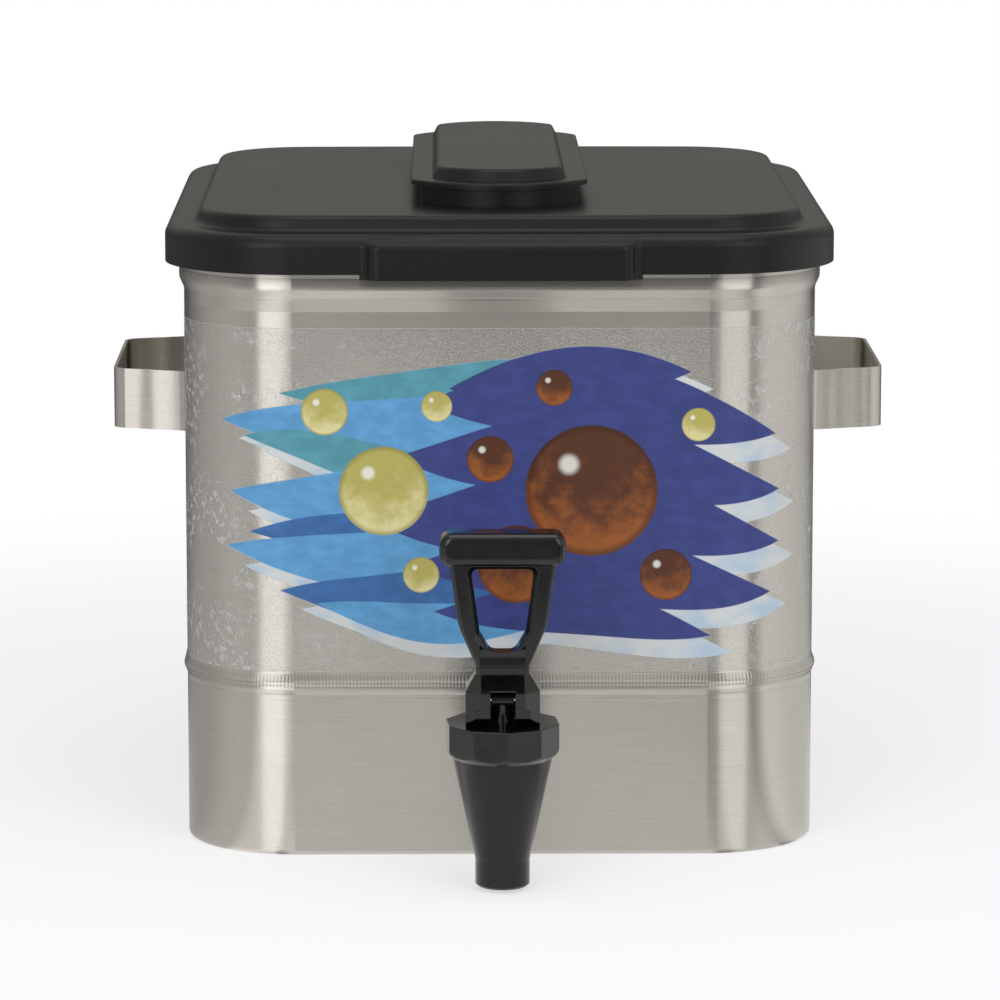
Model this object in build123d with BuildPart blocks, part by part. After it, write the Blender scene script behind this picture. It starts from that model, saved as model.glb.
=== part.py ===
from build123d import *

import os
from math import cos, radians, sin

# Countertop dispenser for cold drinks: stainless vessel, lift-off lid with a fill cap, self-closing tap.
# Millimetres. Z points up, X to the right, and the tap stands on the -Y side.
# The origin lies on the counter, under the middle of the vessel.

# Vessel sheet
vessel_width = 240.0
vessel_depth = 270.0
vessel_corner = 42.0
vessel_height = 234.2
sheet = 1.0
hem_width = 5.0
hem_bend = 1.2
bead_height = 67.0
bead_half_height = 3.2
bead_rise = 1.4
bead_crest_bend = 1.8
bead_foot_bend = 2.0
flare_drop = 21.7
flare_climb = 4.0
flare_rise = 1.8
flare_bend = 4.0
rim_width = 3.0
rim_bend = 1.2

# Floor of the vessel
floor_height = 18.0
floor_flange = 8.0
floor_bend = 3.0

# Side handles
handle_reach = 30.5
handle_thickness = 1.2
handle_height = 23.4
handle_drop = 84.3
grip_half_length = 41.5
leg_half_span = 51.0
handle_foot_length = 13.0
handle_bend = 6.0
handle_foot_bend = 5.0

# Printed film round the front
film_thickness = 0.15
film_bottom = 71.0
film_drop = 32.6
film_side_wrap = 25.0

# Lid
lid_wall = 2.5
lid_side_overhang = 7.0
lid_front_overhang = 5.0
lid_bow = 3.0
lid_corner = 49.0
lid_skirt_height = 14.6
lid_shoulder = 4.5
panel_inset = 11.5
panel_rise = 6.0
panel_slope = 22.0
panel_edge = 3.0
panel_foot_bend = 3.0
lip_half_width = 48.0
lip_rise = 4.0
lip_slant = 2.3
lip_root = 6.0
lip_height = 14.0
lip_drop = 1.7
lip_corner = 4.6
lip_flare = 3.2
lip_edge = 2.4
guide_depth = 7.0
guide_thickness = 2.0

# Fill neck of the lid and its cap
cap_width = 67.0
cap_length = 212.0
cap_end_rise = 21.0
cap_corner = 9.0
cap_plate = 2.2
cap_wall = 2.2
cap_overhang = 3.5
cap_centre_inset = 8.0
cap_centre_rise = 4.6
cap_slope = 25.0
cap_edge = 0.8
cap_centre_corner = 6.0
cap_centre_edge = 2.2
neck_rise = 7.0
neck_wall = 2.4
plug_depth = 6.0

# Tap: heights are above the counter
tap_reach = 53.0
shank_height = 35.0
shank_radius = 9.5
shank_bore = 6.0
shank_flange_radius = 14.0
shank_flange = 3.0
washer_radius = 14.0
washer_thickness = 2.0
nut_across_flats = 27.0
nut_length = 8.0
shank_end = 3.0
spout_tip = 1.5
spout_radius = 10.1
spout_bore = 7.0
spout_edge = 0.9
spout_top = 11.5
seat_bottom = 26.0
seat_top = 30.0
chamber_low_radius = 11.3
chamber_top_radius = 14.0
body_wall = 2.8
body_shoulder = 50.0
body_shoulder_width = 1.6
body_neck_height = 7.0
bonnet_wall = 4.5
bonnet_facets = 10
bonnet_turn = 5.0
bonnet_top = 63.0
bonnet_roof = 5.0
bonnet_round = 4.0
bonnet_foot_chamfer = 2.6

# Moving parts of the tap
stem_radius = 4.0
stem_flange_radius = 7.0
stem_flange = 1.5
stem_foot_radius = 5.5
stem_foot_bottom = 29.0
stem_foot = 3.5
eye_radius = 4.2
pin_radius = 1.6
pin_length = 26.0
cup_wall = 1.2
cup_plug_radius = 8.6
cup_plug_bottom = 25.6
spring_wire = 1.2
spring_radius = 5.9
spring_turns = 6
spring_sides = 6

# Tap handle
cam_height = 8.0
lift_per_radian = 5.0
tilt_limit = 45.0
foot_half_width = 13.6
foot_back = 9.0
foot_height = 12.7
foot_front_chamfer = 5.5
foot_back_chamfer = 2.5
arch_depth = 2.0
arch_half_width = 6.5
arch_height = 7.6
arch_side_height = 3.5
waist_half_width = 9.9
waist_height = 18.4
waist_chamfers = (2.0, 2.0)
waist_rise = 3.0
waist_bend = 5.0
cam_steps = 6
heel_chamfer = 1.5
slot_half_width = 4.6
slot_reach = 5.2
arm_front = 5.5
arm_back = 4.5
arm_edge = 1.6
arm_bend = 20.0
shoulder_bend = 4.0
arm_low_half_width = 16.2
arm_low_height = 36.0
arm_top_half_width = 19.0
arm_top_height = 55.5
head_half_width = 23.2
head_bottom = 58.4
head_top = 70.9
head_front = 8.5
head_back = 6.5
head_corner = 4.8
head_edge = 3.2
window_top = 57.2
window_top_half_width = 11.7
window_low = 33.0
window_low_half_width = 8.4
window_bottom = 26.2
window_bottom_half_width = 4.5
window_corner = 2.5
window_bend = 4.0
window_bottom_bend = 3.5
window_chamfer = 2.0
thumb_radius = 7.3
thumb_depth = 1.8
thumb_half_width = 8.5
thumb_height = 24.5

# Clearances
seat_gap = 0.3
running_gap = 0.1
pin_gap = 0.06
plug_gap = 0.3
guide_gap = 0.6
hole_gap = 0.4

# Places worked out from the sizes. The flare, the film and the handles hang from the rim by their drops.
flare_low = vessel_height - flare_drop
film_top = vessel_height - film_drop
handle_bottom = vessel_height - handle_drop
front_face = -vessel_depth / 2
tap_axis = front_face - tap_reach
ledge_underside = vessel_height + seat_gap
ledge_top = ledge_underside + lid_wall
lid_bottom = ledge_top - lid_skirt_height
panel_top = ledge_top + panel_rise
neck_top = panel_top + neck_rise
lid_half_width = vessel_width / 2 + lid_side_overhang
lid_half_depth = vessel_depth / 2 + lid_front_overhang
skirt_front = -lid_half_depth - lid_bow
lip_bottom = lid_bottom - lip_drop
guide_inset = rim_width - flare_rise + sheet / 2 + guide_gap
neck_opening_inset = cap_overhang + neck_wall
body_neck_radius = chamber_top_radius + body_wall
body_shoulder_radius = body_neck_radius + body_shoulder_width
bonnet_radius = body_neck_radius + bonnet_wall
bonnet_underside = bonnet_top - bonnet_roof
pin_height = bonnet_top + seat_gap + cam_height


def across(path):
    """Plane across the start of a level path: x points out of the outline and y points up."""
    along = path % 0
    return Plane(origin=path @ 0, x_dir=along.cross(Vector(0, 0, 1)), z_dir=-along)


def vessel_outline(inset, height):
    """Level sketch of the vessel's outline, drawn in by inset."""
    with BuildSketch(Plane.XY.offset(height)) as outline:
        RectangleRounded(vessel_width - 2 * inset, vessel_depth - 2 * inset, vessel_corner - inset)
    return outline.sketch


def lid_outline(inset, height):
    """Level sketch of the lid's outline, with bowed front and back edges, drawn in by inset."""
    side = lid_half_width
    straight = lid_half_depth
    with BuildSketch(Plane.XY.offset(height)) as outline:
        with BuildLine():
            front = ThreePointArc((-side, -straight), (0, -straight - lid_bow), (side, -straight))
            back = ThreePointArc((-side, straight), (0, straight + lid_bow), (side, straight))
            Line(front @ 0, back @ 0)
            Line(front @ 1, back @ 1)
        make_face()
        fillet(outline.vertices(), lid_corner)
        offset(amount=-inset)
    return outline.sketch


def cap_outline(inset, height, corner=cap_corner):
    """Level sketch of the long cap's outline, rounded by corner and then drawn in by inset."""
    side = cap_width / 2
    straight = cap_length / 2 - cap_end_rise
    with BuildSketch(Plane.XY.offset(height)) as outline:
        with BuildLine():
            front = ThreePointArc((-side, -straight), (0, -cap_length / 2), (side, -straight))
            back = ThreePointArc((-side, straight), (0, cap_length / 2), (side, straight))
            Line(front @ 0, back @ 0)
            Line(front @ 1, back @ 1)
        make_face()
        fillet(outline.vertices(), corner)
        offset(amount=-inset)
    return outline.sketch


def lip_outline(inset, height):
    """Level sketch of the finger lip, flared into the skirt at both ends, drawn in by inset."""
    with BuildSketch(Plane.XY.offset(height)) as outline:
        with BuildLine():
            right = FilletPolyline(
                (0, skirt_front - lip_rise),
                (lip_half_width, skirt_front - lip_rise),
                (lip_half_width + lip_slant, skirt_front),
                (lip_half_width + 2 * lip_slant, skirt_front),
                (lip_half_width + 2 * lip_slant, skirt_front + lip_root),
                (0, skirt_front + lip_root),
                radius=(lip_corner, lip_flare, 0, 0),
            )
            mirror(right, about=Plane.YZ)
        make_face()
        offset(amount=-inset)
    return outline.sketch


def tap_plane(height):
    """Level plane on the tap's axis."""
    return Plane(origin=(0, tap_axis, height))


tap_section = Plane(origin=(0, tap_axis, 0), x_dir=(1, 0, 0), z_dir=(0, -1, 0))


def shank_at(y):
    """Plane across the shank at depth y, facing into the vessel."""
    return Plane(origin=(0, y, shank_height), x_dir=(1, 0, 0), z_dir=(0, 1, 0))


# Vessel wall: one sheet swept round the outline, with hem, bead, flared neck and turned-in rim
path = vessel_outline(0, 0).wire()
middle = -sheet / 2
bends = (hem_bend, bead_foot_bend, bead_crest_bend, bead_foot_bend, flare_bend, flare_bend, rim_bend)
with BuildPart() as vessel_shell:
    with BuildSketch(across(path)) as section:
        with BuildLine():
            FilletPolyline(
                (middle - hem_width, sheet / 2),
                (middle, sheet / 2),
                (middle, bead_height - bead_half_height),
                (middle + bead_rise, bead_height),
                (middle, bead_height + bead_half_height),
                (middle, flare_low),
                (middle + flare_rise, flare_low + flare_climb),
                (middle + flare_rise, vessel_height - sheet / 2),
                (middle + flare_rise - rim_width, vessel_height - sheet / 2),
                radius=bends,
            )
        trace(line_width=sheet)
    sweep(path=path)
    with BuildSketch(shank_at(front_face)):
        Circle(shank_radius + hole_gap)
    extrude(amount=sheet, both=True, mode=Mode.SUBTRACT)
vessel_shell.part.label = "vessel_shell"

# Floor pan: turned-down flange against the inside of the wall
with BuildPart() as vessel_floor:
    extrude(vessel_outline(sheet, floor_height - floor_flange), amount=floor_flange)
    fillet(vessel_floor.faces().sort_by(Axis.Z)[-1].edges(), floor_bend)
    offset(amount=-sheet, openings=vessel_floor.faces().sort_by(Axis.Z)[0])
vessel_floor.part.label = "vessel_floor"

# Side handles: one bent strap each, with two feet on the wall
handles = {}
for name, side in (("left_handle", -1), ("right_handle", 1)):
    foot_x = side * (vessel_width / 2 + handle_thickness / 2)
    grip_x = side * (vessel_width / 2 + handle_reach - handle_thickness / 2)
    with BuildPart() as handle:
        with BuildSketch(Plane.XY.offset(handle_bottom)):
            with BuildLine():
                FilletPolyline(
                    (foot_x, -leg_half_span - handle_foot_length),
                    (foot_x, -leg_half_span),
                    (grip_x, -grip_half_length),
                    (grip_x, grip_half_length),
                    (foot_x, leg_half_span),
                    (foot_x, leg_half_span + handle_foot_length),
                    radius=(handle_foot_bend, handle_bend, handle_bend, handle_foot_bend),
                )
            trace(line_width=handle_thickness)
        extrude(amount=handle_height)
    handle.part.label = name
    handles[name] = handle.part

# Printed film: thin skin on the front wall, past both front corners
film_side = front_face + vessel_corner + film_side_wrap
with BuildPart() as label_film:
    with BuildSketch(Plane.XY.offset(film_bottom)):
        add(vessel_outline(-film_thickness, film_bottom))
        add(vessel_outline(0, film_bottom), mode=Mode.SUBTRACT)
        split(bisect_by=Plane(origin=(0, film_side, 0), z_dir=(0, -1, 0)))
    extrude(amount=film_top - film_bottom)
label_film.part.label = "label_film"

# Finger lip in front of the lid
with BuildPart() as finger_lip:
    extrude(lip_outline(0, lip_bottom), amount=lip_height)
    fillet(finger_lip.faces().sort_by(Axis.Z)[-1].edges(), lip_edge)

# Lid: skirt and shoulder, raised panel, finger lip, guide rib and fill neck
with BuildPart() as lid:
    extrude(lid_outline(0, lid_bottom), amount=lid_skirt_height)
    fillet(lid.faces().sort_by(Axis.Z)[-1].edges(), lid_shoulder)
    extrude(lid_outline(panel_inset, ledge_top), amount=panel_rise, taper=panel_slope)
    fillet(lid.faces().sort_by(Axis.Z)[-1].edges(), panel_edge)
    ledge = lid.faces().filter_by(Plane.XY).sort_by(Axis.Z)[-2]
    fillet(ledge.inner_wires()[0].edges(), panel_foot_bend)
    add(finger_lip.part)
    extrude(lid_outline(lid_wall, lip_bottom), amount=ledge_underside - lip_bottom, mode=Mode.SUBTRACT)
    extrude(lip_outline(lid_wall, lip_bottom), amount=lip_height - lid_wall, mode=Mode.SUBTRACT)
    extrude(lid_outline(panel_inset + lid_wall, ledge_underside), amount=panel_rise, taper=panel_slope,
            mode=Mode.SUBTRACT)
    extrude(vessel_outline(guide_inset, ledge_underside - guide_depth)
            - vessel_outline(guide_inset + guide_thickness, ledge_underside - guide_depth),
            amount=guide_depth + lid_wall / 2)
    extrude(cap_outline(cap_overhang, panel_top - lid_wall / 2), amount=neck_rise + lid_wall / 2)
    extrude(cap_outline(neck_opening_inset, ledge_underside), amount=neck_top - ledge_underside,
            mode=Mode.SUBTRACT)
lid.part.label = "lid"

# Fill cap: plate over the neck, raised centre, hollow underneath, plug inside the neck
plug_inset = neck_opening_inset + plug_gap
with BuildPart() as fill_cap:
    extrude(cap_outline(0, neck_top), amount=cap_plate)
    fillet(fill_cap.faces().sort_by(Axis.Z)[-1].edges(), cap_edge)
    extrude(cap_outline(cap_centre_inset, neck_top + cap_plate, cap_centre_corner), amount=cap_centre_rise,
            taper=cap_slope)
    fillet(fill_cap.faces().sort_by(Axis.Z)[-1].edges(), cap_centre_edge)
    extrude(cap_outline(plug_inset, neck_top - plug_depth), amount=plug_depth + cap_plate / 2)
    extrude(cap_outline(plug_inset + cap_wall, neck_top - plug_depth), amount=plug_depth, mode=Mode.SUBTRACT)
    extrude(cap_outline(cap_centre_inset + cap_wall, neck_top), amount=cap_centre_rise, taper=cap_slope,
            mode=Mode.SUBTRACT)
fill_cap.part.label = "fill_cap"

# Tap body: chamber, seat and spout in one revolve, with the shank to the vessel
shank_tip = front_face + sheet + washer_thickness + nut_length + shank_end
flange_face = front_face - washer_thickness
with BuildPart() as tap_body:
    with BuildSketch(tap_section):
        with BuildLine():
            Polyline(
                (0, spout_tip),
                (spout_radius - spout_edge, spout_tip),
                (spout_radius, spout_tip + spout_edge),
                (spout_radius, spout_top),
                (body_shoulder_radius, body_shoulder),
                (body_neck_radius, body_shoulder),
                (body_neck_radius, body_shoulder + body_neck_height),
                (0, body_shoulder + body_neck_height),
                close=True,
            )
        make_face()
    revolve(axis=Axis((0, tap_axis, 0), (0, 0, 1)))
    with BuildSketch(shank_at(tap_axis)):
        Circle(shank_radius)
    extrude(amount=shank_tip - tap_axis)
    with BuildSketch(shank_at(flange_face - shank_flange)):
        Circle(shank_flange_radius)
    extrude(amount=shank_flange)
    with BuildSketch(tap_section):
        with BuildLine():
            Polyline(
                (0, spout_tip),
                (spout_bore, spout_tip),
                (spout_bore, seat_bottom),
                (chamber_low_radius, seat_top),
                (chamber_top_radius, body_shoulder),
                (chamber_top_radius, body_shoulder + body_neck_height),
                (0, body_shoulder + body_neck_height),
                close=True,
            )
        make_face()
    revolve(axis=Axis((0, tap_axis, 0), (0, 0, 1)), mode=Mode.SUBTRACT)
    with BuildSketch(shank_at(tap_axis)):
        Circle(shank_bore)
    extrude(amount=shank_tip - tap_axis, mode=Mode.SUBTRACT)
tap_body.part.label = "tap_body"

# Shank washers on both sides of the wall, and the nut inside the vessel
washers = {}
for name, start in (("outer_washer", flange_face), ("inner_washer", front_face + sheet)):
    with BuildPart() as washer:
        with BuildSketch(shank_at(start)):
            Circle(washer_radius)
            Circle(shank_radius + running_gap, mode=Mode.SUBTRACT)
        extrude(amount=washer_thickness)
    washer.part.label = name
    washers[name] = washer.part

with BuildPart() as shank_nut:
    with BuildSketch(shank_at(front_face + sheet + washer_thickness)):
        RegularPolygon(nut_across_flats / 2, 6, major_radius=False)
        Circle(shank_radius + running_gap, mode=Mode.SUBTRACT)
    extrude(amount=nut_length)
shank_nut.part.label = "shank_nut"

# Bonnet: faceted collar with a rounded top, screwed over the neck of the body
with BuildPart() as tap_bonnet:
    with BuildSketch(tap_section):
        with BuildLine():
            FilletPolyline(
                (0, body_shoulder),
                (bonnet_radius - bonnet_foot_chamfer, body_shoulder),
                (bonnet_radius, body_shoulder + bonnet_foot_chamfer),
                (bonnet_radius, bonnet_top),
                (0, bonnet_top),
                radius=(0, 0, bonnet_round, 0, 0),
                close=True,
            )
        make_face()
    revolve(axis=Axis((0, tap_axis, 0), (0, 0, 1)))
    with BuildSketch(tap_plane(body_shoulder)):
        RegularPolygon(bonnet_radius, bonnet_facets, rotation=bonnet_turn - 90)
    extrude(amount=bonnet_top - body_shoulder, mode=Mode.INTERSECT)
    with BuildSketch(tap_plane(body_shoulder)):
        Circle(body_neck_radius + running_gap)
    extrude(amount=bonnet_underside - body_shoulder, mode=Mode.SUBTRACT)
    with BuildSketch(tap_plane(bonnet_underside)):
        Circle(stem_radius + running_gap)
    extrude(amount=bonnet_roof, mode=Mode.SUBTRACT)
tap_bonnet.part.label = "tap_bonnet"

# Stem: foot held in the seat cup, flange under the spring, rounded eye for the pin
with BuildPart() as tap_stem:
    with BuildSketch(tap_section):
        with BuildLine():
            Polyline(
                (0, stem_foot_bottom),
                (stem_foot_radius, stem_foot_bottom),
                (stem_foot_radius, stem_foot_bottom + stem_foot),
                (stem_flange_radius, stem_foot_bottom + stem_foot),
                (stem_flange_radius, stem_foot_bottom + stem_foot + stem_flange),
                (stem_radius, stem_foot_bottom + stem_foot + stem_flange),
                (stem_radius, pin_height),
                (0, pin_height),
                close=True,
            )
        make_face()
    revolve(axis=Axis((0, tap_axis, 0), (0, 0, 1)))
    with BuildSketch(Plane(origin=(0, tap_axis, pin_height), x_dir=(0, 1, 0), z_dir=(1, 0, 0))):
        Circle(eye_radius)
    extrude(amount=stem_radius, both=True)
    with BuildSketch(tap_plane(stem_foot_bottom)):
        Circle(stem_flange_radius)
    extrude(amount=pin_height + eye_radius - stem_foot_bottom, mode=Mode.INTERSECT)
    with BuildSketch(Plane(origin=(0, tap_axis, pin_height), x_dir=(0, 1, 0), z_dir=(1, 0, 0))):
        Circle(pin_radius + pin_gap)
    extrude(amount=stem_radius, both=True, mode=Mode.SUBTRACT)
tap_stem.part.label = "tap_stem"

# Seat cup: rim clamped under the bonnet, thin cone, plug on the seat
seat_slope = (chamber_low_radius - spout_bore) / (seat_top - seat_bottom)
cup_rim = body_shoulder + body_neck_height
with BuildPart() as seat_cup:
    with BuildSketch(tap_section):
        with BuildLine():
            Polyline(
                (0, cup_plug_bottom),
                (spout_bore - running_gap - (seat_bottom - cup_plug_bottom) * seat_slope, cup_plug_bottom),
                (cup_plug_radius, seat_bottom + (cup_plug_radius - spout_bore + running_gap) / seat_slope),
                (cup_plug_radius, stem_foot_bottom + stem_foot),
                (chamber_top_radius - running_gap, cup_rim - cup_wall),
                (chamber_top_radius - running_gap, cup_rim),
                (body_neck_radius, cup_rim),
                (body_neck_radius, bonnet_underside),
                (chamber_top_radius - cup_wall, bonnet_underside),
                (chamber_top_radius - cup_wall, cup_rim - cup_wall),
                (cup_plug_radius - cup_wall, stem_foot_bottom + stem_foot),
                (stem_foot_radius, stem_foot_bottom + stem_foot),
                (stem_foot_radius, stem_foot_bottom),
                (0, stem_foot_bottom),
                close=True,
            )
        make_face()
    revolve(axis=Axis((0, tap_axis, 0), (0, 0, 1)))
seat_cup.part.label = "seat_cup"

# Spring: one helical wire between the flange of the stem and the roof of the bonnet
spring_seat = stem_foot_bottom + stem_foot + stem_flange + spring_wire / 2
spring_pitch = (bonnet_underside - spring_wire / 2 - spring_seat) / spring_turns
with BuildPart() as tap_spring:
    with BuildLine() as coil:
        Helix(spring_pitch, spring_pitch * spring_turns, spring_radius, center=(0, tap_axis, spring_seat))
    with BuildSketch(Plane(origin=coil.line @ 0, z_dir=coil.line % 0)):
        RegularPolygon(spring_wire / 2, spring_sides)
    sweep(is_frenet=True)
tap_spring.part.label = "tap_spring"
print(f"gap between turns of the tap spring {spring_pitch - spring_wire:.2f} mm")

# Cross pin of the handle
with BuildPart() as handle_pin:
    with BuildSketch(Plane(origin=(0, tap_axis, pin_height), x_dir=(0, 1, 0), z_dir=(1, 0, 0))):
        Circle(pin_radius)
    extrude(amount=pin_length / 2, both=True)
handle_pin.part.label = "handle_pin"

# Tap handle. Heights in its sketches are above the underside of its foot.
foot_bottom = bonnet_top + seat_gap
side_view = Plane(origin=(0, tap_axis, foot_bottom), x_dir=(0, 1, 0), z_dir=(1, 0, 0))
front_view = Plane(origin=(0, tap_axis, foot_bottom), x_dir=(1, 0, 0), z_dir=(0, -1, 0))


def cam_point(tilt):
    """Point of the foot, from the cross pin, that touches the bonnet at a tilt in degrees.

    The foot is an involute: its reach below the pin grows evenly with the tilt, so the stem does too.
    """
    angle = radians(tilt)
    reach = cam_height + lift_per_radian * angle
    return (
        -reach * sin(angle) - lift_per_radian * cos(angle),
        cam_height - reach * cos(angle) + lift_per_radian * sin(angle),
    )


def foot_outline(half_width, front, back, chamfers, height):
    """Level sketch of the foot, with chamfered upright corners."""
    front_chamfer, back_chamfer = chamfers
    with BuildSketch(tap_plane(foot_bottom + height)) as outline:
        with BuildLine():
            right = Polyline(
                (0, -front),
                (half_width - front_chamfer, -front),
                (half_width, -front + front_chamfer),
                (half_width, back - back_chamfer),
                (half_width - back_chamfer, back),
                (0, back),
            )
            mirror(right, about=Plane.YZ)
        make_face()
    return outline.sketch


nose = cam_point(tilt_limit)
foot_front = arch_depth - nose[0]
foot_chamfers = (foot_front_chamfer, foot_back_chamfer)
with BuildPart() as handle_foot:
    extrude(foot_outline(foot_half_width, foot_front, foot_back, foot_chamfers, 0), amount=foot_height)
    shoulder = foot_outline(foot_half_width, foot_front, foot_back, foot_chamfers, foot_height)
    waist = foot_outline(waist_half_width, arm_front, arm_back, waist_chamfers, waist_height)
    loft([shoulder.face(), waist.face()], ruled=True)
    with BuildSketch(side_view):
        with BuildLine():
            cam = Spline([cam_point(tilt_limit * step / cam_steps) for step in range(cam_steps + 1)])
            Polyline(
                cam @ 1,
                (-foot_front, nose[1]),
                (-foot_front, waist_height),
                (foot_back, waist_height),
                (foot_back, heel_chamfer),
                (foot_back - heel_chamfer, 0),
                cam @ 0,
            )
        make_face()
    extrude(amount=foot_half_width, both=True, mode=Mode.INTERSECT)
    # Arch in front of the cam
    with BuildSketch(front_view.offset(-nose[0])):
        with BuildLine():
            right = Polyline(
                (0, 0),
                (foot_half_width, 0),
                (foot_half_width, arch_side_height),
                (arch_half_width, arch_height),
                (0, arch_height),
            )
            mirror(right, about=Plane.YZ)
        make_face()
    extrude(amount=arch_depth, mode=Mode.SUBTRACT)

with BuildPart() as handle_arms:
    with BuildSketch(front_view.offset(-arm_back)):
        with BuildLine():
            right = FilletPolyline(
                (0, foot_height),
                (waist_half_width, foot_height),
                (waist_half_width, waist_height + waist_rise),
                (arm_low_half_width, arm_low_height),
                (arm_top_half_width, arm_top_height),
                (head_half_width - head_edge, head_bottom + head_edge),
                (head_half_width - head_edge, head_top - head_corner),
                (0, head_top - head_corner),
                radius=(0, waist_bend, arm_bend, shoulder_bend, 0, 0),
            )
            mirror(right, about=Plane.YZ)
        make_face()
        with BuildLine():
            right = FilletPolyline(
                (0, window_top),
                (window_top_half_width, window_top),
                (window_low_half_width, window_low),
                (window_bottom_half_width, window_bottom),
                (0, window_bottom),
                radius=(window_corner, window_bend, window_bottom_bend),
            )
            mirror(right, about=Plane.YZ)
        make_face(mode=Mode.SUBTRACT)
    extrude(amount=arm_front + arm_back)
    broad_faces = handle_arms.faces().filter_by(Axis.Y).sort_by(Axis.Y)
    outlines = broad_faces[0].outer_wire().edges() + broad_faces[-1].outer_wire().edges()
    arm_sides = outlines.filter_by(
        lambda edge: abs(edge.center().X) > waist_half_width and edge.center().Z < foot_bottom + head_bottom
    )
    fillet(arm_sides, arm_edge)
    front_of_arms = handle_arms.faces().filter_by(Axis.Y).sort_by(Axis.Y)[0]
    chamfer(front_of_arms.inner_wires()[0].edges(), window_chamfer)

with BuildPart() as handle_head:
    with BuildSketch(front_view.offset(-head_back)):
        with Locations((0, (head_bottom + head_top) / 2)):
            RectangleRounded(2 * head_half_width, head_top - head_bottom, head_corner)
    extrude(amount=head_front + head_back)
    fillet(handle_head.edges().filter_by(Axis.Y, reverse=True), head_edge)

with BuildPart() as tap_handle:
    add(handle_foot.part)
    add(handle_arms.part)
    add(handle_head.part)
    # Scoop for the thumb, between the window and the foot
    with BuildSketch(side_view):
        with Locations((-arm_front - thumb_radius + thumb_depth, thumb_height)):
            Circle(thumb_radius)
    extrude(amount=thumb_half_width, both=True, mode=Mode.SUBTRACT)
    # Slot for the stem, open in front and below
    with BuildSketch(front_view.offset(-slot_reach)):
        with Locations((0, (cam_height + slot_reach) / 2)):
            Rectangle(2 * slot_half_width, cam_height + slot_reach)
    extrude(amount=foot_front + slot_reach, mode=Mode.SUBTRACT)
    with BuildSketch(side_view):
        with Locations((0, cam_height)):
            Circle(pin_radius)
    extrude(amount=pin_length / 2, both=True, mode=Mode.SUBTRACT)
tap_handle.part.label = "tap_handle"

# Files, one for each piece
pieces = [
    vessel_shell.part, vessel_floor.part, handles["left_handle"], handles["right_handle"], label_film.part,
    lid.part, fill_cap.part, tap_body.part, washers["outer_washer"], washers["inner_washer"], shank_nut.part,
    tap_bonnet.part, tap_stem.part, seat_cup.part, tap_spring.part, handle_pin.part, tap_handle.part,
]
os.makedirs("parts", exist_ok=True)
for piece in pieces:
    export_step(piece, f"parts/{piece.label}.step")
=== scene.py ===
# %% [markdown]
# A countertop dispenser for cold tea: a rounded stainless vessel, a black lid with a fill cap, and a lever
# tap. The packed CAD model is loaded first. Its pieces already have their real shapes and ride on their
# moving bodies, so this lesson leaves them where they are and gives each one the finish of the real piece.

# %% Load the packed model
import math

import bpy
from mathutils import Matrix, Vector

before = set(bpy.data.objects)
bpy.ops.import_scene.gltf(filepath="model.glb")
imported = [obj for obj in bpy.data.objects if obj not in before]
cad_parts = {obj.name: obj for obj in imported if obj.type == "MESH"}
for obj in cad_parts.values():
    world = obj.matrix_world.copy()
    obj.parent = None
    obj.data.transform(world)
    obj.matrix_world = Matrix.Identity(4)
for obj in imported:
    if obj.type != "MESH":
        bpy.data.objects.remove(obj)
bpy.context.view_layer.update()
print("pieces:", ", ".join(sorted(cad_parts)))

# %% [markdown]
# A finish is a network of nodes, and most of it is plain arithmetic on numbers that change over the surface.
# Math nodes that are wired one by one are slow to read, so a small class wraps an output socket: writing
# a * b or 1 - a adds the Math node.

# %% A socket that can be calculated with
class Field:
    """A number, colour or vector that varies over a surface, held as the output socket of a node."""

    def __init__(self, finish, socket):
        self.finish = finish
        self.socket = socket

    def math(self, operation, *values):
        return self.finish.node("ShaderNodeMath", {"operation": operation}, dict(enumerate(values)))

    def __add__(self, other):
        return self.math("ADD", self, other)

    def __radd__(self, other):
        return self.math("ADD", other, self)

    def __sub__(self, other):
        return self.math("SUBTRACT", self, other)

    def __rsub__(self, other):
        return self.math("SUBTRACT", other, self)

    def __mul__(self, other):
        return self.math("MULTIPLY", self, other)

    def __rmul__(self, other):
        return self.math("MULTIPLY", other, self)

    def __truediv__(self, other):
        return self.math("DIVIDE", self, other)

    def size(self):
        return self.math("ABSOLUTE", self)

    def sign(self):
        return self.math("SIGN", self)

    def root(self):
        return self.math("SQRT", self.at_least(0.0))

    def sine(self):
        return self.math("SINE", self)

    def turn(self, other):
        """The angle whose tangent is this number over the other."""
        return self.math("ARCTAN2", self, other)

    def at_most(self, other):
        return self.math("MINIMUM", self, other)

    def at_least(self, other):
        return self.math("MAXIMUM", self, other)

    def rise(self, low, high):
        """0 below low, 1 above high, and a smooth climb between them."""
        settings = {"interpolation_type": "SMOOTHSTEP"}
        inputs = {"Value": self, "From Min": low, "From Max": high}
        return self.finish.node("ShaderNodeMapRange", settings, inputs)

    def fall(self, low, high):
        """1 below low, 0 above high, and a smooth descent between them."""
        return 1.0 - self.rise(low, high)


print("a number on a surface can", ", ".join(name for name in vars(Field) if not name.startswith("_")))

# %% [markdown]
# A finish also needs somewhere to put its nodes. This class makes an empty material, adds nodes to it, and
# joins the last shader to the surface. One method adds every kind of node and sets the node's own settings
# before its sockets. Mixing colours and moving vectors get a method each, because a Math node would turn a
# colour grey. The studio's world is a node tree too, so the same class can take a world.

# %% A finish and its nodes
MM = 0.001
ROUND_EDGE_SAMPLES = 4


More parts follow.
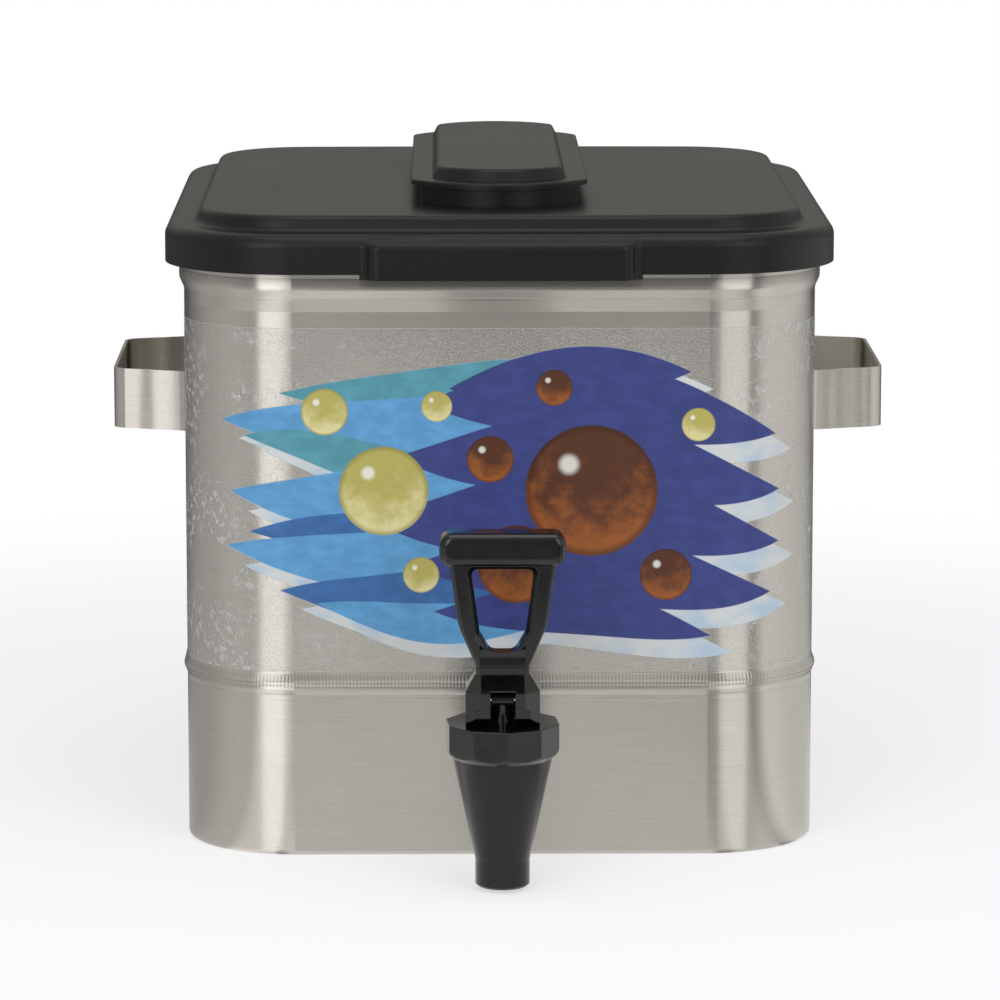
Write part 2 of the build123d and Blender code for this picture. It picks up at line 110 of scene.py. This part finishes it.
class Finish:
    """A material or a world under construction."""

    def __init__(self, name, world=None):
        self.block = world or bpy.data.materials.new(name)
        self.output = "ShaderNodeOutputWorld" if world else "ShaderNodeOutputMaterial"
        self.block.use_nodes = True
        self.tree = self.block.node_tree
        self.tree.nodes.clear()

    def node(self, kind, settings=None, inputs=None, output=0):
        node = self.tree.nodes.new(kind)
        for name, value in (settings or {}).items():
            if name == "stops":
                self.set_stops(node.color_ramp.elements, value)
            else:
                setattr(node, name, value)
        for name, value in (inputs or {}).items():
            if isinstance(value, Field):
                self.tree.links.new(value.socket, node.inputs[name])
            else:
                node.inputs[name].default_value = value
        return Field(self, node.outputs[output])

    def set_stops(self, elements, stops):
        """Stops of a ramp, each a position and a colour, from the first to the last."""
        for element, (position, colour) in zip(elements, (stops[0], stops[-1])):
            element.position = position
            element.color = (*colour, 1.0)
        for position, colour in stops[1:-1]:
            elements.new(position).color = (*colour, 1.0)

    def blend(self, share, first, second):
        """The first colour where share is 0 and the second where it is 1."""
        pair = [(*c, 1.0) if isinstance(c, tuple) else c for c in (first, second)]
        return self.node("ShaderNodeMix", {"data_type": "RGBA"}, {0: share, 6: pair[0], 7: pair[1]}, 2)

    def parts(self, vector):
        return [self.node("ShaderNodeSeparateXYZ", inputs={0: vector}, output=i) for i in range(3)]

    def place(self):
        """x, y and z of the point on the piece, in millimetres."""
        point = self.node("ShaderNodeTexCoord", output="Object")
        scaled = self.node("ShaderNodeVectorMath", {"operation": "SCALE"}, {0: point, "Scale": 1 / MM})
        return self.parts(scaled)

    def noise(self, x, y, z, detail=2.0, roughness=0.5):
        place = self.node("ShaderNodeCombineXYZ", inputs={0: x, 1: y, 2: z})
        inputs = {"Vector": place, "Scale": 1.0, "Detail": detail, "Roughness": roughness}
        return self.node("ShaderNodeTexNoise", inputs=inputs)

    def bump(self, height, distance, edge=0.0):
        """A normal bent by a height that stands for a distance, and rounded over edges, in millimetres."""
        inputs = {"Height": height, "Distance": distance * MM}
        if edge:
            settings = {"samples": ROUND_EDGE_SAMPLES}
            inputs["Normal"] = self.node("ShaderNodeBevel", settings, {"Radius": edge * MM})
        return self.node("ShaderNodeBump", inputs=inputs)

    def principled(self, **inputs):
        """The standard shader. Colours are three numbers, and names have underscores for their spaces."""
        values = {n.replace("_", " "): (*v, 1.0) if isinstance(v, tuple) else v for n, v in inputs.items()}
        return self.node("ShaderNodeBsdfPrincipled", inputs=values)

    def surface(self, shader):
        output = self.tree.nodes.new(self.output)
        self.tree.links.new(shader.socket, output.inputs["Surface"])
        return self.block


scratch = Finish("scratch")
print("a finish starts with", len(scratch.tree.nodes), "nodes")
bpy.data.materials.remove(scratch.block)

# %% [markdown]
# The camera comes first, because everything is judged through it. The photograph was taken from about two
# metres with a long lens, ten degrees above level, so upright edges stay nearly parallel. The same place
# and lens are set here. The aim could be three angles, but a direction made from one drop and one turn is
# easier to correct.

# %% Camera
LENS_MM = 189.1
CAMERA_PLACE = Vector((-0.0227, -2.0769, 0.466))
CAMERA_DROP = math.radians(9.63)
CAMERA_TURN = math.radians(0.66)
CAMERA_REACH = 20.0

camera = bpy.data.objects.new("camera", bpy.data.cameras.new("camera"))
bpy.context.scene.collection.objects.link(camera)
aim = Vector((
    math.sin(CAMERA_TURN) * math.cos(CAMERA_DROP),
    math.cos(CAMERA_TURN) * math.cos(CAMERA_DROP),
    -math.sin(CAMERA_DROP),
))
camera.location = CAMERA_PLACE
camera.rotation_euler = aim.to_track_quat("-Z", "Y").to_euler()
camera.data.lens = LENS_MM
camera.data.clip_end = CAMERA_REACH
bpy.context.scene.camera = camera
bpy.context.scene.view_settings.view_transform = "Standard"
print("camera", tuple(round(v, 3) for v in camera.location))

# %% [markdown]
# The vessel is bent from one sheet with rounded corners, and its print and its ripples follow the sheet. So
# two finishes need the length along the wall instead of x and y. Texture coordinates on the mesh could hold
# it, but the CAD meshes stay as they are, so it is worked out from the place: where the wall turns a
# corner, the angle of the turn adds to the length, and how far a point stands out from the wall comes from
# the same triangle.

# %% Length along the wall
HALF_FLAT = 78.0
CORNER_PLACE = -93.0
CORNER = 42.0
NEARLY_NOTHING = 0.001


def along_wall(x, y):
    """Length along the wall from the middle of the front to the right, and the height above the wall."""
    over = (x.size() - HALF_FLAT).at_least(0.0)
    ahead = (CORNER_PLACE - y).at_least(0.0)
    turn = over.turn(ahead.at_least(NEARLY_NOTHING))
    length = x.size().at_most(HALF_FLAT) + turn * CORNER + (y - CORNER_PLACE).at_least(0.0)
    stand = (over * over + ahead * ahead).root() - CORNER
    return length * x.sign(), stand


print("one corner is", round(CORNER * math.pi / 2, 1), "mm long")

# %% [markdown]
# Brushed steel is a mirror with fine scratches that all run one way. Round the vessel they run level, so a
# reflection stays sharp from side to side and smears far up and down. A plain rough metal would smear it
# both ways and look like paint, so the shader's anisotropy does the smearing. Its direction is turned a
# quarter, because the default one follows the scratches round the upright axis.
# Noise that is stretched along the scratches gives the lines themselves, in colour, roughness and bump. It
# stays faint: on the real sheet the lines are finer than the eye sees from a step away.

# %% Brushed steel
STEEL = (0.5, 0.476, 0.437)
STEEL_DARK = (0.425, 0.4, 0.362)
# Darker steel, painted as shade in the rippled groove above the bead.
STEEL_GROOVE_SHADE = (0.3, 0.283, 0.258)
LINE_DEPTH = 0.007
GRAIN_LENGTH, GRAIN_HEIGHT = 0.7, 0.35
PATCH_LENGTH, PATCH_HEIGHT = 55.0, 40.0
QUARTER_TURN = 0.25


def brushed_steel(name, roughness, line_length, line_height, marks):
    """Steel with level brush lines.

    Its marks are a height in millimetres, which bends reflections, and a share of darker colour, which is
    painted shade.
    """
    finish = Finish(name)
    x, y, z = finish.place()
    lines = finish.noise(x / line_length, y / line_length, z / line_height, 2.0, 0.6)
    grain = finish.noise(x / GRAIN_LENGTH, y / GRAIN_LENGTH, z / GRAIN_HEIGHT, 2.0, 0.6)
    patches = finish.noise(x / PATCH_LENGTH, y / PATCH_LENGTH, z / PATCH_HEIGHT, 2.0)
    worn = (lines * 0.45 + grain * 0.35 + patches * 0.2).rise(0.36, 0.64)
    height, painted_shade = marks(finish, x, y, z)
    shader = finish.principled(
        Base_Color=finish.blend(painted_shade, finish.blend(worn, STEEL_DARK, STEEL), STEEL_GROOVE_SHADE),
        Metallic=1.0,
        Roughness=(lines - 0.5) * 0.12 + (patches - 0.5) * 0.06 + roughness,
        Anisotropic=1.0,
        Anisotropic_Rotation=QUARTER_TURN,
        Normal=finish.bump((lines * 0.6 + grain * 0.4) * LINE_DEPTH + height, 1.0),
    )
    return finish.surface(shader)


print("one brush line is about", LINE_DEPTH, "mm deep")

# %% [markdown]
# The rolls that form the vessel leave marks. The bead low down is flatter than a plain bend, with fine
# upright ripples all the way round and a thin ridge under it. The neck under the lid turns in softly. The
# back has a ground weld. All of them could be cut into a mesh, but the CAD meshes stay as they are and the
# marks hardly change an outline, so bump bends the light as they would. The heights of bead and neck are
# measured on the photograph, and the weld is a guess.

# %% The vessel's steel
RIPPLE_LENGTH = 1.3
RIPPLE_DEPTH = 0.01
RIPPLED = (64.6, 70.0)
RIPPLE_FADE = 0.6
BEAD_PLACE = 67.0
BEAD_HALF = 3.2
BEAD_LOST = 1.45
RIDGES = ((63.6, 1.7, 0.5), (60.2, 0.5, 0.03))
NECK = ((207.6, 212.4, 2.0), (215.8, 220.5, -1.5))
SEAM_HALF = (0.3, 1.6)
SEAM_DEPTH = 0.04
BACK = (90.0, 100.0)


def mound(z, middle, half):
    """1 at one height, 0 further off than half a width, and round between."""
    off = (z - middle) / half
    return (1.0 - off * off).at_least(0.0)


def slope(z, low, high):
    """0 below, 1 above, and an even climb between."""
    return ((z - low) / (high - low)).at_least(0.0).at_most(1.0)


def vessel_marks(finish, x, y, z):
    """The flattened and rippled bead with its ridges, the soft neck, and the weld down the back."""
    u, stand = along_wall(x, y)
    low, high = RIPPLED
    band = z.rise(low, low + RIPPLE_FADE) * z.fall(high - RIPPLE_FADE, high)
    ripple = (u / RIPPLE_LENGTH * math.tau).sine()
    height = ripple * band * RIPPLE_DEPTH
    height -= (1.0 - (z - BEAD_PLACE).size() / BEAD_HALF).at_least(0.0) * BEAD_LOST
    for middle, half, rise in RIDGES:
        height += mound(z, middle, half) * rise
    for low, high, rise in NECK:
        height += slope(z, low, high) * rise
    height += x.size().fall(*SEAM_HALF) * y.rise(*BACK) * SEAM_DEPTH
    # The rippled groove gets a share of darker steel, most on each ripple: painted shade.
    return height, band * (ripple * 0.5 + 0.25)


vessel_steel = brushed_steel("vessel steel", 0.31, 16.0, 0.22, vessel_marks)
print("brushed steel:", vessel_steel.name)

# %% [markdown]
# The strap handles are bent from narrow strip and spot-welded to the side walls. The strip is never quite
# flat, and in the photograph the left one is brighter than the right one, as two mirrors that both turn a
# little to the right. Bump does that too: a wave, a tilt, slow noise, and a dimple at each weld.

# %% The handles' steel
STRAP_CROWN = 143.5
STRAP_WAVE = 13.0
STRAP_WAVE_DEPTH = 0.1
STRAP_TILT = -0.083
WELD_OUT = 57.5
WELD_HEIGHT = 162.0
WELD_APART = 6.0
WELD_RADIUS = (1.0, 2.8)
WELD_DEPTH = 0.15


def strap_marks(finish, x, y, z):
    """Wavy legs, both tilted a little to the right, and a dimple at each spot weld in the feet."""
    bend = ((x.size() - STRAP_CROWN) / STRAP_WAVE * math.tau).sine() * STRAP_WAVE_DEPTH
    uneven = finish.noise(x / 9.0, y / 9.0, z / 40.0, 1.0) * 0.2
    side = y.size() - WELD_OUT
    above = (z - WELD_HEIGHT).size() - WELD_APART
    weld = (side * side + above * above).root().fall(*WELD_RADIUS)
    return bend + x * STRAP_TILT + uneven - weld * WELD_DEPTH, 0.0


handle_steel = brushed_steel("handle steel", 0.3, 7.0, 0.25, strap_marks)
print("brushed steel:", handle_steel.name)

# %% [markdown]
# The film is clear, with a print behind its gloss. An image could carry the print, but a formula stays
# sharp at every size and follows the wall round its corners. The print's waves are ribbons: each swells in
# the middle and runs out to a point at both ends, along a line that climbs and swings. A ribbon is the gap
# between that line and its own half thickness, so one function draws them all.

# %% Ribbons of the print
SKY = (0.09, 0.27, 0.49)
MIDDLE_BLUE = (0.036, 0.115, 0.3)
DEEP = (0.036, 0.047, 0.18)
TEAL = (0.075, 0.25, 0.31)

film = Finish("printed film")
x, y, z = film.place()
u, stand = along_wall(x, y)


def ribbon(start, end, height, thickness, climb, swing, length, shift=0.0):
    """1 inside a ribbon between two lengths along the wall."""
    along = (u - (start + end) / 2) / ((end - start) / 2)
    line = along * climb + (u / length * math.tau).sine() * swing + height
    swell = (1.0 - along * along) * (thickness / 2)
    return (swell - (z - line + shift).size()).rise(0.0, 0.5)


# Each row: start, end, height, thickness, climb, swing, length of one swing, and colour.
RIBBONS = (
    (-84.0, 30.0, 181.0, 17.0, 5.0, 3.0, 150.0, TEAL),
    (-20.0, 72.0, 182.0, 22.0, 2.0, 2.0, 170.0, DEEP),
    (-108.0, 24.0, 168.0, 22.0, 6.0, 4.0, 150.0, SKY),
    (-30.0, 106.0, 170.0, 30.0, -7.0, 4.0, 170.0, DEEP),
    (-98.0, 10.0, 152.0, 17.0, -5.0, 4.0, 120.0, TEAL),
    (-104.0, 60.0, 143.0, 30.0, 6.0, 5.0, 180.0, SKY),
    (-40.0, 108.0, 150.0, 32.0, -7.0, 4.0, 140.0, DEEP),
    (-96.0, 30.0, 128.0, 20.0, 8.0, 4.0, 130.0, MIDDLE_BLUE),
    (-106.0, 40.0, 119.0, 24.0, 5.0, 5.0, 160.0, SKY),
    (-50.0, 108.0, 129.0, 34.0, -5.0, 5.0, 150.0, DEEP),
    (-84.0, 52.0, 104.0, 24.0, 5.0, 4.0, 130.0, MIDDLE_BLUE),
    (-34.0, 104.0, 109.0, 30.0, -6.0, 3.0, 130.0, DEEP),
    (-70.0, 30.0, 92.0, 16.0, -3.0, 3.0, 110.0, SKY),
    (-26.0, 80.0, 92.0, 20.0, -5.0, 3.0, 120.0, DEEP),
)
print("ribbons in the print:", len(RIBBONS))

# %% [markdown]
# Under the coloured ribbons lies a pale ground: the same ribbons once more, moved a little to the right and
# down, so that it shows as a light edge. Then the ribbons are laid over it one by one, each mottled like
# brushed ink. The share of the film that is printed grows with them.

# %% Inks of the print
PALE = (0.40, 0.50, 0.60)
PALE_WHITE = (0.56, 0.58, 0.58)
PALE_RIGHT = 8.0
PALE_DOWN = 6.0
DEEPER = 1.5

printed = 0.0
for start, end, *shape, tint in RIBBONS:
    printed = ribbon(start + PALE_RIGHT, end + PALE_RIGHT, *shape, shift=PALE_DOWN).at_least(printed)
ink = film.noise(u / 9.0, 2.0, z / 5.0, 4.0, 0.6).rise(0.35, 0.7) * 0.5
faded = film.noise(u / 22.0, 4.0, z / 12.0, 2.0).rise(0.35, 0.55)
picture = film.blend(faded, PALE, PALE_WHITE)
for start, end, *shape, tint in RIBBONS:
    mask = ribbon(start, end, *shape)
    picture = film.blend(mask, picture, film.blend(ink, tint, tuple(c * DEEPER for c in tint)))
    printed = mask.at_least(printed)
print("inks: pale", PALE, "and pale white", PALE_WHITE)

# %% [markdown]
# Round bubbles in amber and yellow rise across the waves. Each is a disc with a dark rim, a body that
# lightens towards its foot, where the light gathers, and a small bright spot near the top left.

# %% Bubbles of the print
AMBER = ((0.085, 0.028, 0.014), (0.30, 0.09, 0.02))
YELLOW = ((0.42, 0.37, 0.10), (0.66, 0.60, 0.30))
SPOT = (0.8, 0.8, 0.72)

# Each row: place along the wall, height, radius, and the colours of body and glow.
BUBBLES = (
    (34.0, 140.0, 25.0, AMBER),
    (6.0, 112.0, 15.0, AMBER),
    (62.0, 108.0, 10.0, AMBER),
    (-4.0, 152.0, 9.0, AMBER),
    (20.0, 179.0, 7.0, AMBER),
    (-44.0, 140.0, 17.0, YELLOW),
    (-66.0, 170.0, 9.0, YELLOW),
    (-24.0, 172.0, 6.0, YELLOW),
    (74.0, 165.0, 6.5, YELLOW),
    (-30.0, 108.0, 7.0, YELLOW),
)


def disc(across, height, radius, edge):
    """Distance from the middle as a share of the radius, and 1 inside the disc."""
    away = ((u - across) * (u - across) + (z - height) * (z - height)).root() / radius
    return away, (1.0 - away).rise(0.0, edge / radius)


swirl = film.noise(u / 7.0, 5.0, z / 7.0, 4.0, 0.65)
for across, height, radius, (tint, glow) in BUBBLES:
    away, inside = disc(across, height, radius, 0.4)
    gathered = ((height - z) / radius * 0.55 + away * 0.4 + swirl * 1.6).rise(0.8, 1.7)
    body = film.blend(gathered, tint, glow)
    body = film.blend(away.rise(0.86, 0.97) * 0.6, body, tuple(c * 0.5 for c in tint))
    spot_away, spot = disc(across - radius * 0.34, height + radius * 0.4, radius * 0.2, radius * 0.12)
    body = film.blend(spot * 0.75, body, SPOT)
    picture = film.blend(inside, picture, body)
    printed = printed.at_least(inside)
print("bubbles in the print:", len(BUBBLES))

# %% [markdown]
# Clear places have to show the steel under them. Glass would do it, but it costs many bounces for a film
# this thin, so the shader is faded out there by its alpha. Only a faint haze is left, thicker in mottled
# patches near the ends, as where stuck film has lifted, and along the cut edge. The back of the film lies
# on the steel, where two surfaces would fight, so only the outer face is shown.

# %% Haze and the film's shader
FILM_BOTTOM = 71.0
FILM_TOP = 201.6
FILM_STAND = 0.15
HAZE = (0.64, 0.625, 0.59)
PRINT_COVER = 0.93

mottled = film.noise(u / 3.2, 0.0, z / 3.2, 4.0, 0.7)
patchy = film.noise(u / 30.0, 3.0, z / 24.0, 2.0)
speckle = film.noise(u / 0.6, 9.0, z / 0.6, 2.0, 0.6).rise(0.5, 0.62)
near_ends = (u.size() - 40.0).rise(0.0, 50.0)
lifted = mottled.rise(0.5, 0.6) * patchy.rise(0.45, 0.58) * (near_ends * 0.4 + 0.05)
cut_edge = (z - FILM_BOTTOM).at_most(FILM_TOP - z).fall(0.15, 0.5)
haze = (lifted + speckle * 0.4 + 0.03).at_least(cut_edge * 0.3)
outer_face = (stand - FILM_STAND / 2).rise(0.0, 0.02)
shader = film.principled(
    Base_Color=film.blend(printed, HAZE, picture),
    Roughness=(mottled - 0.5) * 0.1 + 0.36,
    Alpha=(haze + (PRINT_COVER - haze) * printed) * outer_face,
    Specular_IOR_Level=0.25,
    Normal=film.bump(mottled, 0.02),
)
printed_film = film.surface(shader)
print("the film is", FILM_TOP - FILM_BOTTOM, "mm high")

# %% [markdown]
# The lid is moulded from black plastic with a fine spark-eroded grain. The grain is bump, smaller than a
# millimetre, and it spreads the light, so the flat top looks dark grey and the rounded edges catch a soft
# highlight. The tap is the same family of plastic from a polished mould: the grain is nearly gone, and
# highlights turn crisp. A moulded edge is never sharp, so the tap's edges are rounded in the shading.

# %% Moulded plastics
LID_BLACK = (0.0035, 0.0031, 0.0026)
TAP_BLACK = (0.0022, 0.0022, 0.0024)
SATIN_BLACK = (0.004, 0.004, 0.004)
SILICONE_GREY = (0.55, 0.55, 0.53)
CAP_SHADED_GLOSSY_BELOW = 246.5
TAP_EDGE = 0.6
CLOUD_SIZE = 60.0


def moulded_plastic(name, colour, roughness, grain_size, grain_depth, level, shaded_glossy_below=0.0, edge=0.0):
    """Plastic with a grain. Below a height in millimetres it is glossier and keeps its plain dark colour,
    which paints shade there.
    """
    finish = Finish(name)
    x, y, z = finish.place()
    # Below that height the grain doesn't lighten the colour, which is painted shade under the cap's
    # overhang, and the mould is glossier.
    shade_and_polish = z.fall(shaded_glossy_below - 0.5, shaded_glossy_below)
    grain = finish.noise(x / grain_size, y / grain_size, z / grain_size, 2.0, 0.6)
    clouds = finish.noise(x / CLOUD_SIZE, y / CLOUD_SIZE, z / CLOUD_SIZE, 2.0)
    lighter = tuple(c * 1.5 + 0.002 for c in colour)
    shader = finish.principled(
        Base_Color=finish.blend(grain.rise(0.3, 0.75) * (1.0 - shade_and_polish), colour, lighter),
        Roughness=(clouds - 0.5) * 0.08 + (grain - 0.5) * 0.1 + roughness - shade_and_polish * roughness * 0.6,
        Specular_IOR_Level=level,
        Normal=finish.bump(grain, grain_depth, edge),
    )
    return finish.surface(shader)


lid_plastic = moulded_plastic("lid plastic", LID_BLACK, 0.36, 0.6, 0.04, 0.24)
# The cap's neck under its overhang has painted shade and a glossier mould below this height.
cap_plastic = moulded_plastic("cap plastic", LID_BLACK, 0.36, 0.6, 0.04, 0.24, CAP_SHADED_GLOSSY_BELOW)
tap_plastic = moulded_plastic("tap plastic", TAP_BLACK, 0.12, 6.0, 0.01, 0.42, edge=TAP_EDGE)
tap_satin = moulded_plastic("tap satin", SATIN_BLACK, 0.25, 1.2, 0.03, 0.3, edge=TAP_EDGE)
silicone = moulded_plastic("silicone", SILICONE_GREY, 0.5, 1.5, 0.02, 0.5)
print("plastics:", lid_plastic.name, cap_plastic.name, tap_plastic.name, tap_satin.name, silicone.name)

# %% [markdown]
# The spring and the pin of the tap are drawn wire: brighter than the vessel, with faint lines along the
# wire. Noise that is much longer in x than in y and z is enough for lines this small.

# %% Drawn wire
WIRE_DARK = (0.6, 0.6, 0.6)
WIRE_LIGHT = (0.8, 0.79, 0.77)
WIRE_LINE_LENGTH, WIRE_LINE_WIDTH = 4.0, 0.3

wire = Finish("drawn wire")
x, y, z = wire.place()
drawn = wire.noise(x / WIRE_LINE_LENGTH, y / WIRE_LINE_WIDTH, z / WIRE_LINE_WIDTH, 2.0)
shader = wire.principled(
    Base_Color=wire.blend(drawn, WIRE_DARK, WIRE_LIGHT),
    Metallic=1.0,
    Roughness=drawn * 0.15 + 0.15,
)
drawn_wire = wire.surface(shader)
print("wire finish:", drawn_wire.name)

# %% [markdown]
# Each CAD piece now gets its finish in its own material slot. The meshes are left as they are.

# %% Finishes on the pieces
FINISHES = {
    "vessel_shell": vessel_steel,
    "vessel_floor": vessel_steel,
    "left_handle": handle_steel,
    "right_handle": handle_steel,
    "label_film": printed_film,
    "lid": lid_plastic,
    "fill_cap": cap_plastic,
    "tap_body": tap_satin,
    "tap_bonnet": tap_plastic,
    "tap_stem": tap_plastic,
    "tap_handle": tap_plastic,
    "shank_nut": tap_plastic,
    "outer_washer": silicone,
    "inner_washer": silicone,
    "seat_cup": silicone,
    "tap_spring": drawn_wire,
    "handle_pin": drawn_wire,
}
for name, material in FINISHES.items():
    for material_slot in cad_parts[name].material_slots:
        material_slot.material = material
print("pieces finished:", len(FINISHES))

# %% [markdown]
# The object stands on white paper in a white room. Metal shows what stands round it, so paper and room also
# have the paler and darker parts of a real studio. Real cards and lamps could stand there, but then they
# would light the object too. So the pattern is set by the direction, in degrees from the camera's side
# towards the right, and only reflections see it. It is what draws the rounded corners of the vessel:
# without it steel looks like grey paint.

# %% What reflections see
# Each pair: a direction and its brightness.
STUDIO = (
    (-180.0, 0.1), (-145.0, 0.12), (-106.0, 0.48), (-79.0, 0.78), (-60.0, 0.98), (-41.0, 1.0),
    (-36.0, 1.65), (-12.0, 1.65), (-8.0, 0.5), (-4.5, 0.8), (-2.5, 1.22), (1.5, 1.17), (4.0, 1.07),
    (7.0, 0.5), (13.0, 0.5), (17.0, 1.15), (43.0, 1.15), (47.0, 0.45), (53.0, 0.66), (62.0, 1.45),
    (84.0, 1.2), (105.0, 0.95), (125.0, 0.6), (145.0, 0.15), (180.0, 0.1),
)
BRIGHTEST = 2.0


def studio_pattern(finish, east, north):
    """The brightness of the studio in a direction, for reflections."""
    turn = east.turn(0.0 - north) / math.tau + 0.5
    stops = [((degrees + 180.0) / 360.0, (value / BRIGHTEST,) * 3) for degrees, value in STUDIO]
    return finish.node("ShaderNodeValToRGB", {"stops": stops}, {0: turn}) * BRIGHTEST


def seen_rays(finish):
    """1 for rays that show a surface as it looks, and 1 for those of them that are reflections."""
    kinds = ("Is Camera Ray", "Is Glossy Ray", "Is Transmission Ray")
    camera_ray, glossy_ray, passed_ray = [finish.node("ShaderNodeLightPath", output=kind) for kind in kinds]
    return (camera_ray + glossy_ray + passed_ray).at_most(1.0), glossy_ray


print("directions set in the studio:", len(STUDIO))

# %% [markdown]
# The floor is a wide pale sheet, seen as pure white by the camera. Close to the object a part of that white
# comes from real light, so the floor still takes a soft shadow. In reflections the paper gets darker some
# way in front of the object, which keeps the polished black of the tap dark. Its pattern is measured from
# the nearest corner of the vessel, because the paper is so close that the middle would give other angles.

# %% Floor
WHITE = (1.0, 1.0, 1.0)
PAPER = (0.95, 0.95, 0.95)
FLOOR_SIZE = 8.0
SHADOW_REACH = (300.0, 700.0)
PAPER_END = (550.0, 850.0)
WHITE_NEAR = 0.6
WHITE_IN_METAL = 0.9
DARKER_BEYOND = 0.65

mesh = bpy.data.meshes.new("floor")
half = FLOOR_SIZE / 2
corners = [(-half, -half, 0), (half, -half, 0), (half, half, 0), (-half, half, 0)]
mesh.from_pydata(corners, [], [(0, 1, 2, 3)])
floor = bpy.data.objects.new("floor", mesh)
bpy.context.scene.collection.objects.link(floor)

paper = Finish("floor")
x, y, z = paper.place()
far = (x * x + y * y).root().rise(*SHADOW_REACH)
seen, glossy_ray = seen_rays(paper)
lit = paper.principled(Base_Color=PAPER, Roughness=0.9, Specular_IOR_Level=0.2)
east = (x.size() - HALF_FLAT).at_least(0.0) * x.sign()
north = (y.size() + CORNER_PLACE).at_least(0.0) * y.sign()
beyond = (0.0 - y).rise(*PAPER_END)
mirrored = studio_pattern(paper, east, north) * (1.0 - beyond * DARKER_BEYOND)
white = paper.node("ShaderNodeEmission", inputs={"Color": paper.blend(glossy_ray, WHITE, mirrored)})
share = seen * (far * (1.0 - WHITE_NEAR) + WHITE_NEAR).at_least(glossy_ray * WHITE_IN_METAL)
mesh.materials.append(paper.surface(paper.node("ShaderNodeMixShader", inputs={0: share, 1: lit, 2: white})))
paper.block.cycles.emission_sampling = "NONE"
print("floor", FLOOR_SIZE, "m wide")

# %% [markdown]
# Behind the object the studio is white. The world sends an even light to everything, and reflections see
# the pattern of the studio in it, with a plain pale ceiling. Cycles would also sample the world as a lamp,
# without the pattern, and that would wash the reflections out, so this sampling is turned off.

# %% World
LIGHT_OF_STUDIO = 0.52
CEILING = (0.67, 0.65, 0.605)
CEILING_STARTS = (0.2, 0.7)
CEILING_TILT = 0.25
DARKER_BEHIND_CAMERA = 0.7

studio = Finish("studio", bpy.data.worlds.new("studio"))
bpy.context.scene.world = studio.block
east, north, up = studio.parts(studio.node("ShaderNodeTexCoord", output="Generated"))
facing_camera = (0.0 - north).at_least(0.0)
walls = studio_pattern(studio, east, north) * (1.0 - facing_camera * DARKER_BEHIND_CAMERA)
room = studio.blend((up + north * CEILING_TILT).rise(*CEILING_STARTS), walls, CEILING)
seen, glossy_ray = seen_rays(studio)
sky = studio.blend(glossy_ray, WHITE, room)
strength = seen * (1.0 - LIGHT_OF_STUDIO) + LIGHT_OF_STUDIO
studio.surface(studio.node("ShaderNodeBackground", inputs={"Color": sky, "Strength": strength}))
studio.block.cycles.sampling_method = "NONE"
print("even light of the studio:", LIGHT_OF_STUDIO)

# %% [markdown]
# Three soft lamps light the object. Two tall ones stand at the front left and front right, where the
# pattern is bright too, and the rounded corners mirror them as upright stripes. A wide one hangs above and
# draws the edges of the lid and the tap. Small lamps would give hard spots that the photograph doesn't show.

# %% Lamps
LAMP_COLOUR = (0.96, 0.98, 1.0)
LAMP_AIM = Vector((0.0, 0.0, 0.12))

# Each row: name, turn from the front to the right, height, distance, width, height of the panel, and power.
LAMPS = (
    ("left lamp", -23.0, 0.75, 1.7, 0.82, 1.3, 9.0),
    ("right lamp", 30.0, 0.75, 1.7, 0.95, 1.3, 7.5),
    ("top lamp", 10.0, 2.2, 0.4, 1.6, 1.6, 14.0),
)


def soft_lamp(name, turn, height, distance, width, tall, power):
    """A rectangular lamp that faces the object."""
    lamp = bpy.data.objects.new(name, bpy.data.lights.new(name, "AREA"))
    bpy.context.scene.collection.objects.link(lamp)
    angle = math.radians(turn)
    lamp.location = (distance * math.sin(angle), -distance * math.cos(angle), height)
    lamp.rotation_euler = (LAMP_AIM - lamp.location).to_track_quat("-Z", "Y").to_euler()
    lamp.data.shape = "RECTANGLE"
    lamp.data.size = width
    lamp.data.size_y = tall
    lamp.data.energy = power
    lamp.data.color = LAMP_COLOUR
    lamp.visible_camera = False


for row in LAMPS:
    soft_lamp(*row)
print("lamps:", len(LAMPS))

# %% [markdown]
